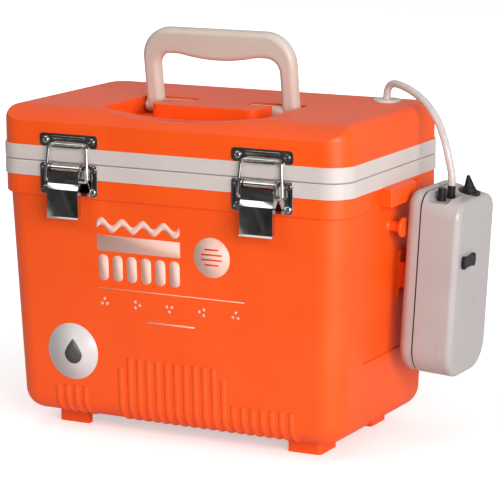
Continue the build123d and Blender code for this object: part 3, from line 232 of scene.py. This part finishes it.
def moulded_plastic(name, low, high, roughness, grain, bump, scratched=0.0, **constants):
    """Moulded plastic: uneven tone, fine grain and a few scuffs."""
    material, tree, shader = start_material(name, **constants)
    surface = place_group(tree, grain_group, Grain_size=grain, Unevenness_size=16.0)
    tree.links.new(ramp_between(tree, surface.outputs["Tone"], low, high), shader.inputs["Base Color"])
    polish = range_between(tree, surface.outputs["Tone"], roughness - 0.04, roughness + 0.04)
    height = surface.outputs["Height"]
    if scratched:
        scuffs = place_group(tree, scratch_group, Size=42.0, Stretch=20.0, Amount=scratched)
        polish = math_node(tree, "ADD", polish, math_node(tree, "MULTIPLY", scuffs.outputs["Mask"], 0.12))
        height = math_node(tree, "ADD", height, math_node(tree, "MULTIPLY", scuffs.outputs["Height"], 0.4))
    tree.links.new(polish, shader.inputs["Roughness"])
    add_bump(tree, shader, height, bump)
    return material


def polished_metal(name, low, high, roughness, scratched):
    """Polished sheet steel with hairlines and cloudy patches."""
    material, tree, shader = start_material(name, Metallic=1.0)
    cloud = place_group(tree, grain_group, Grain_size=260.0, Unevenness_size=90.0)
    hair = place_group(tree, scratch_group, Size=120.0, Stretch=30.0, Amount=scratched)
    tree.links.new(ramp_between(tree, cloud.outputs["Tone"], low, high), shader.inputs["Base Color"])
    rough = range_between(tree, cloud.outputs["Tone"], roughness - 0.04, roughness + 0.06)
    rough = math_node(tree, "ADD", rough, math_node(tree, "MULTIPLY", hair.outputs["Mask"], 0.10))
    tree.links.new(rough, shader.inputs["Roughness"])
    clouded = math_node(tree, "MULTIPLY", cloud.outputs["Tone"], 0.6)
    add_bump(tree, shader, math_node(tree, "ADD", hair.outputs["Height"], clouded), 0.06)
    return material


orange_plastic = moulded_plastic(
    "orange_polyethylene", (0.95, 0.088, 0.004), (0.99, 0.104, 0.007), 0.42, 1100.0, 0.10, 0.35,
    Specular_IOR_Level=0.38,
)
rim_plastic = moulded_plastic(
    "pale_rim_plastic", (0.63, 0.55, 0.52), (0.67, 0.59, 0.56), 0.42, 1000.0, 0.10, 0.3,
)
foam_filling = moulded_plastic("closed_cell_foam", (0.80, 0.78, 0.70), (0.86, 0.84, 0.77), 0.85, 420.0, 0.6)
handle_plastic = moulded_plastic(
    "beige_handle_plastic", (0.62, 0.53, 0.46), (0.67, 0.58, 0.51), 0.36, 900.0, 0.10, 0.4,
)
latch_steel = polished_metal("polished_latch_steel", (0.50, 0.48, 0.46), (0.66, 0.64, 0.62), 0.14, 0.6)
pin_steel = polished_metal("turned_pin_steel", (0.52, 0.50, 0.48), (0.68, 0.66, 0.64), 0.20, 0.4)
pump_plastic = moulded_plastic(
    "pale_pump_housing", (0.44, 0.405, 0.395), (0.48, 0.445, 0.435), 0.30, 1300.0, 0.08, 0.25,
    Coat_Weight=0.15,
)
black_plastic = moulded_plastic(
    "black_nylon", (0.008, 0.008, 0.008), (0.014, 0.013, 0.013), 0.40, 900.0, 0.15, 0.4,
    Specular_IOR_Level=0.3,
)
black_rubber = moulded_plastic(
    "black_rubber", (0.008, 0.008, 0.008), (0.014, 0.013, 0.013), 0.58, 700.0, 0.25,
    Specular_IOR_Level=0.3,
)
gasket_rubber = moulded_plastic("grey_gasket", (0.30, 0.30, 0.29), (0.36, 0.36, 0.35), 0.6, 700.0, 0.2)
cell_sleeve = moulded_plastic("cell_sleeve", (0.03, 0.03, 0.035), (0.05, 0.05, 0.055), 0.3, 900.0, 0.1)
motor_can = polished_metal("motor_can", (0.45, 0.44, 0.42), (0.55, 0.54, 0.52), 0.3, 0.5)
chamber_plastic = moulded_plastic(
    "pump_head_plastic", (0.20, 0.20, 0.22), (0.26, 0.26, 0.28), 0.45, 800.0, 0.15,
)
air_stone_mineral = moulded_plastic("porous_stone", (0.16, 0.24, 0.32), (0.24, 0.33, 0.42), 0.9, 380.0, 1.0)
print_ink = moulded_plastic("pale_print_ink", (0.92, 0.56, 0.46), (0.96, 0.62, 0.52), 0.45, 1100.0, 0.10)
sticker_film = moulded_plastic(
    "pale_sticker_film", (0.70, 0.66, 0.65), (0.74, 0.70, 0.69), 0.35, 1100.0, 0.06,
)
sticker_ink = moulded_plastic(
    "dark_sticker_ink", (0.06, 0.055, 0.055), (0.08, 0.075, 0.075), 0.4, 1100.0, 0.06,
)


def build_hose_material():
    """Milky, slightly see-through tubing."""
    material, tree, shader = start_material(
        "milky_air_tubing",
        Coat_Weight=0.35, Coat_Roughness=0.15, Subsurface_Weight=0.15, Subsurface_Scale=0.002,
    )
    surface = place_group(tree, grain_group, Grain_size=500.0, Unevenness_size=60.0)
    tone = ramp_between(tree, surface.outputs["Tone"], (0.56, 0.50, 0.475), (0.64, 0.58, 0.555))
    tree.links.new(tone, shader.inputs["Base Color"])
    tree.links.new(range_between(tree, surface.outputs["Polish"], 0.26, 0.36), shader.inputs["Roughness"])
    add_bump(tree, shader, surface.outputs["Height"], 0.05)
    return material


hose_material = build_hose_material()

slot_finish = {
    "orange_shell": orange_plastic,
    "white_liner": rim_plastic,
    "foam": foam_filling,
    "beige_handle": handle_plastic,
    "latch_steel": latch_steel,
    "pin_steel": pin_steel,
    "pump_white": pump_plastic,
    "black_plastic": black_plastic,
    "black_rubber": black_rubber,
    "gasket_rubber": gasket_rubber,
    "hose_silicone": hose_material,
    "cell_metal": cell_sleeve,
    "motor_metal": motor_can,
    "chamber_plastic": chamber_plastic,
    "stone": air_stone_mineral,
}
node_slot = {entry["node"]: entry["material_slot"] for entry in frame["record"]["subparts"]}
for node_name, node_object in frame["nodes"].items():
    for material_slot in node_object.material_slots:
        material_slot.material = slot_finish[node_slot[node_name]]

node_body = {}
for body_name, members in frame["record"]["behaviour"]["bodies"].items():
    for member in members:
        node_body[member] = body_name


# -------------------------------------------------------------- air hose
hose_points = [
    (0.116, 0.062, 0.2608),
    (0.116, 0.062, 0.2668),
    (0.1189, 0.0606, 0.2719),
    (0.1237, 0.0582, 0.2741),
    (0.1323, 0.0539, 0.2733),
    (0.1465, 0.0468, 0.2696),
    (0.1609, 0.0397, 0.2618),
    (0.1729, 0.0337, 0.2501),
    (0.1805, 0.03, 0.2345),
    (0.1853, 0.0276, 0.2185),
    (0.18792, 0.0265, 0.20984),
    (0.18746, 0.0265, 0.2024),
]
hose_points = [tuple(TUB + Vector(point)) for point in hose_points]
hose_diameter = 0.006


def hose_mesh(name, points, radius):
    """The route's NURBS line as a mesh: a tube of that radius, or the bare line where radius is 0."""
    curve = bpy.data.curves.new(name + "_route", "CURVE")
    curve.dimensions = "3D"
    spline = curve.splines.new("NURBS")
    spline.points.add(len(points) - 1)
    for point, place in zip(spline.points, points):
        point.co = (*place, 1.0)
    spline.order_u = 3
    spline.use_endpoint_u = True
    spline.resolution_u = 10
    curve.bevel_depth = radius
    curve.bevel_resolution = 6
    curve.use_fill_caps = True
    route = bpy.data.objects.new(name + "_route", curve)
    scene.collection.objects.link(route)
    graph = bpy.context.evaluated_depsgraph_get()
    mesh = bpy.data.meshes.new_from_object(route.evaluated_get(graph))
    mesh.name = name
    bpy.data.objects.remove(route)
    return mesh


hose_line = [vertex.co.copy() for vertex in hose_mesh("air_hose_line", hose_points, 0.0).vertices]
air_hose = bpy.data.objects.new("air_hose_tube", hose_mesh("air_hose_tube", hose_points, hose_diameter / 2))
scene.collection.objects.link(air_hose)
air_hose.data.materials.clear()
air_hose.data.materials.append(hose_material)
air_hose.data.shade_smooth()
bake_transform(air_hose)
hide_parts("air_hose")


# ------------------------------------------------------------ mesh pieces
# Least angles, in degrees, that show as an edge: moulded pieces, folded sheet, and sheet that gets a bevel
MOULDED_SHARP, FOLD_SHARP, FOLD_BEVELLED = 32.0, 22.0, 21.0


def finished(mesh_data, name, material, body, angle=MOULDED_SHARP):
    """A shaded object from a bmesh, riding on a body."""
    mesh = bpy.data.meshes.new(name)
    mesh_data.to_mesh(mesh)
    mesh_data.free()
    mesh.materials.append(material)
    mesh.shade_smooth()
    mesh.set_sharp_from_angle(angle=radians(angle))
    piece = bpy.data.objects.new(name, mesh)
    scene.collection.objects.link(piece)
    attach(piece, body)
    return piece


def softened_copy(node, width, joined_faces):
    """A copy of a CAD node with its sheet edges rounded, in place of the node."""
    shape = bmesh.new()
    shape.from_mesh(frame["nodes"][node].data)
    bmesh.ops.remove_doubles(shape, verts=shape.verts, dist=1e-6)
    if joined_faces:
        bmesh.ops.dissolve_limit(shape, angle_limit=radians(1.0), verts=shape.verts, edges=shape.edges)
    slot_name = node_slot[node]
    piece = finished(shape, node + "_dressed", slot_finish[slot_name], node_body[node], FOLD_SHARP)
    bevel = piece.modifiers.new("rounded_edges", "BEVEL")
    bevel.width = width
    bevel.segments = 2
    bevel.limit_method = "ANGLE"
    bevel.angle_limit = radians(FOLD_BEVELLED)
    bevel.harden_normals = True
    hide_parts(node)


SHEET_EDGE = 0.00035
for side in ("left", "right"):
    softened_copy(side + "_latch_base", SHEET_EDGE, False)
    softened_copy(side + "_keeper", SHEET_EDGE, False)
    softened_copy(side + "_lever", SHEET_EDGE, True)


# ------------------------------------------------------ print on the tub
wall_slope = 0.03514
wall_base_half = 0.0820
wall_base_height = 0.012
print_height = 0.1500
sticker_height = 0.0653
sticker_across = -0.0888
badge_centre = (0.0386, 0.0026)


def on_front_wall(height, proud):
    """Matrix that lays a flat shape, drawn round its own origin, on the front wall at that height."""
    upwards = Vector((0, -wall_slope, 1)).normalized()
    outwards = Vector((0, -1, -wall_slope)).normalized()
    wall_half = wall_base_half + wall_slope * (height - wall_base_height)
    origin = Vector((0, -wall_half, height)) + outwards * proud + TUB
    turn = Matrix((Vector((1, 0, 0)), upwards, outwards)).transposed().to_4x4()
    return Matrix.Translation(origin) @ turn


def add_bar(shape, centre, size, corner=0.0):
    """A flat bar with rounded corners."""
    made = bmesh.ops.create_grid(shape, x_segments=1, y_segments=1, size=0.5)["verts"]
    bmesh.ops.scale(shape, verts=made, vec=(size[0], size[1], 1))
    bmesh.ops.translate(shape, verts=made, vec=(centre[0], centre[1], 0))
    if corner:
        bmesh.ops.bevel(
            shape, geom=made, offset=corner, segments=5, profile=0.5, affect="VERTICES", material=-1,
        )


def add_disc(shape, centre, radius, hole=0.0, segments=64):
    """A flat disc, or a ring where hole is its inner radius."""
    made = bmesh.ops.create_circle(shape, cap_ends=True, segments=segments, radius=radius)["verts"]
    bmesh.ops.translate(shape, verts=made, vec=(centre[0], centre[1], 0))
    if hole:
        face = made[0].link_faces[0]
        bmesh.ops.inset_region(shape, faces=[face], thickness=radius - hole, use_even_offset=True)
        bmesh.ops.delete(shape, geom=[face], context="FACES")


def add_wave(shape, centre, length, thickness, swing, waves):
    """A wavy ribbon."""
    made = bmesh.ops.create_grid(shape, x_segments=24 * waves, y_segments=1, size=0.5)["verts"]
    for vertex in made:
        drop = swing * sin(2 * pi * waves * vertex.co.x)
        vertex.co = (centre[0] + vertex.co.x * length, centre[1] + vertex.co.y * thickness + drop, 0)


def printed(shape, name, material, height, proud, thickness):
    """Lays a flat print on the front wall and gives it the thickness of its film."""
    bmesh.ops.recalc_face_normals(shape, faces=shape.faces)
    for face in shape.faces:
        if face.normal.z < 0:
            face.normal_flip()
    bmesh.ops.transform(shape, matrix=on_front_wall(height, proud), verts=shape.verts)
    piece = finished(shape, name, material, "tub")
    film = piece.modifiers.new("film", "SOLIDIFY")
    film.thickness = thickness
    film.offset = -1.0


def front_print():
    """Plain pale bars, waves and rings in the place of the tub's front print."""
    shape = bmesh.new()
    add_wave(shape, (-0.0260, 0.0205), 0.0740, 0.0058, 0.0030, 4)
    add_bar(shape, (-0.0260, 0.0060), (0.0740, 0.0125), 0.0006)
    for number in range(6):
        add_bar(shape, (-0.0260 + (number - 2.5) * 0.0127, -0.0135), (0.0090, 0.0205), 0.0040)
    add_bar(shape, (0.0015, -0.0302), (0.1290, 0.0006))
    for number in range(5):
        across = -0.0580 + number * 0.0290
        add_disc(shape, (across, -0.0413), 0.0062, 0.0054, 40)
        for turn in range(3):
            angle = pi / 2 + turn * 2 * pi / 3 + number * 0.5
            add_disc(shape, (across + 0.0026 * cos(angle), -0.0413 + 0.0026 * sin(angle)), 0.0012, 0.0, 18)
    add_bar(shape, (0.0010, -0.0543), (0.0420, 0.0012), 0.0004)
    add_disc(shape, badge_centre, 0.0157)
    printed(shape, "front_print", print_ink, print_height, 0.00012, 0.00010)


def badge_lines():
    """Short plain strokes on the round pale badge."""
    shape = bmesh.new()
    for row, width in ((0.0062, 0.0120), (0.0022, 0.0180), (-0.0018, 0.0180), (-0.0058, 0.0120)):
        add_bar(shape, (badge_centre[0], badge_centre[1] + row), (width, 0.0014), 0.0006)
    printed(shape, "badge_lines", orange_plastic, print_height, 0.00016, 0.00004)


def round_sticker():
    """A pale round film sticker with a dark ring, and a plain drop in the middle."""
    film = bmesh.new()
    add_disc(film, (sticker_across, 0.0), 0.0229, 0.0, 96)
    printed(film, "sticker_film", sticker_film, sticker_height, 0.00016, 0.00014)
    ink = bmesh.new()
    add_disc(ink, (sticker_across, 0.0), 0.0212, 0.0204, 96)
    drop_radius = 0.0080
    drop = bmesh.ops.create_circle(ink, cap_ends=True, segments=48, radius=drop_radius)["verts"]
    for vertex in drop:
        if vertex.co.y > 0:
            vertex.co.x *= max(1 - vertex.co.y / drop_radius, 0.0) ** 0.5
            vertex.co.y *= 1.55
        vertex.co += Vector((sticker_across, -0.0022, 0))
    printed(ink, "sticker_ink", sticker_ink, sticker_height, 0.00021, 0.00004)


front_print()
badge_lines()
round_sticker()


# ------------------------------------------------------- floor and light
LAMP_TARGET = Vector((0.0, 0.0, 0.12))


def stage_sheet(name, size, place):
    """A flat rectangle of the studio, which is no part of the object."""
    shape = bmesh.new()
    bmesh.ops.create_grid(shape, x_segments=1, y_segments=1, size=0.5)
    bmesh.ops.scale(shape, verts=shape.verts, vec=(*size, 1.0))
    bmesh.ops.translate(shape, verts=shape.verts, vec=place)
    mesh = bpy.data.meshes.new(name)
    shape.to_mesh(mesh)
    shape.free()
    sheet = bpy.data.objects.new(name, mesh)
    scene.collection.objects.link(sheet)
    return sheet


def white_floor():
    """A floor that the camera sees whiten with distance, and that keeps the object's shadow."""
    floor = stage_sheet("floor", (6.0, 6.0), (0.0, 0.0, 0.0))
    material, tree, shader = start_material("white_paper", Roughness=0.7, Specular_IOR_Level=0.2)
    surface = place_group(tree, grain_group, Grain_size=300.0, Unevenness_size=3.0)
    tone = ramp_between(tree, surface.outputs["Tone"], (0.80, 0.80, 0.80), (0.82, 0.82, 0.82))
    tree.links.new(tone, shader.inputs["Base Color"])
    shader.inputs["Emission Color"].default_value = (1, 1, 1, 1)
    path = tree.nodes.new("ShaderNodeLightPath")
    seen = math_node(tree, "MAXIMUM", path.outputs["Is Camera Ray"], path.outputs["Is Transmission Ray"])
    span = tree.nodes.new("ShaderNodeVectorMath")
    span.operation = "LENGTH"
    tree.links.new(tree.nodes.new("ShaderNodeTexCoord").outputs["Object"], span.inputs[0])
    far = tree.nodes.new("ShaderNodeMapRange")
    for label, value in (("From Min", 0.30), ("From Max", 1.10), ("To Min", 0.50), ("To Max", 1.10)):
        far.inputs[label].default_value = value
    tree.links.new(span.outputs["Value"], far.inputs["Value"])
    glow = math_node(tree, "MULTIPLY", seen, far.outputs["Result"])
    tree.links.new(glow, shader.inputs["Emission Strength"])
    floor.data.materials.append(material)


def studio_world():
    """White behind the object, a dim room on the camera's side for what is reflected."""
    world = bpy.data.worlds.new("studio")
    scene.world = world
    world.use_nodes = True
    tree = world.node_tree
    output = tree.nodes["World Output"]
    seen = tree.nodes["Background"]
    seen.inputs["Color"].default_value = (1, 1, 1, 1)
    seen.inputs["Strength"].default_value = 1.0
    room = tree.nodes.new("ShaderNodeBackground")
    room.inputs["Strength"].default_value = 0.62
    where = tree.nodes.new("ShaderNodeTexCoord")
    split = tree.nodes.new("ShaderNodeSeparateXYZ")
    tree.links.new(where.outputs["Generated"], split.inputs[0])
    depth = math_node(tree, "MULTIPLY_ADD", split.outputs["Y"], 0.5, 0.5)
    lift = math_node(tree, "MULTIPLY", split.outputs["Z"], 0.45)
    total = math_node(tree, "ADD", depth, lift, clamp=True)
    shade = ramp_between(tree, total, (0.04, 0.04, 0.04), (0.80, 0.80, 0.80), 0.30, 0.85)
    tree.links.new(shade, room.inputs["Color"])
    path = tree.nodes.new("ShaderNodeLightPath")
    mix = tree.nodes.new("ShaderNodeMixShader")
    shown = math_node(tree, "MAXIMUM", path.outputs["Is Camera Ray"], path.outputs["Is Transmission Ray"])
    tree.links.new(shown, mix.inputs["Fac"])
    tree.links.new(room.outputs[0], mix.inputs[1])
    tree.links.new(seen.outputs[0], mix.inputs[2])
    tree.links.new(mix.outputs[0], output.inputs["Surface"])


def soft_lamp(name, place, size, power):
    """A rectangular lamp turned towards the middle of the object."""
    lamp = bpy.data.objects.new(name, bpy.data.lights.new(name, "AREA"))
    scene.collection.objects.link(lamp)
    lamp.data.shape = "RECTANGLE"
    lamp.data.size, lamp.data.size_y = size
    lamp.data.energy = power
    lamp.location = place
    lamp.rotation_euler = (LAMP_TARGET - Vector(place)).to_track_quat("-Z", "Y").to_euler()


def dark_card():
    """A dark card on the floor in front, outside the scene's own picture, which the steel reflects."""
    card = stage_sheet("dark_card", (2.4, 2.0), (-0.75, -1.48, 0.002))
    felt = moulded_plastic("card_felt", (0.015, 0.015, 0.015), (0.02, 0.02, 0.02), 0.9, 300.0, 0.1)
    card.data.materials.append(felt)


white_floor()
studio_world()
dark_card()
soft_lamp("key_lamp", (1.55, -1.27, 0.65), (1.3, 1.0), 40.0)
soft_lamp("front_lamp", (-1.0, -1.6, 1.3), (1.2, 0.8), 8.0)
soft_lamp("top_lamp", (-0.1, -0.3, 1.7), (1.3, 0.9), 3.0)
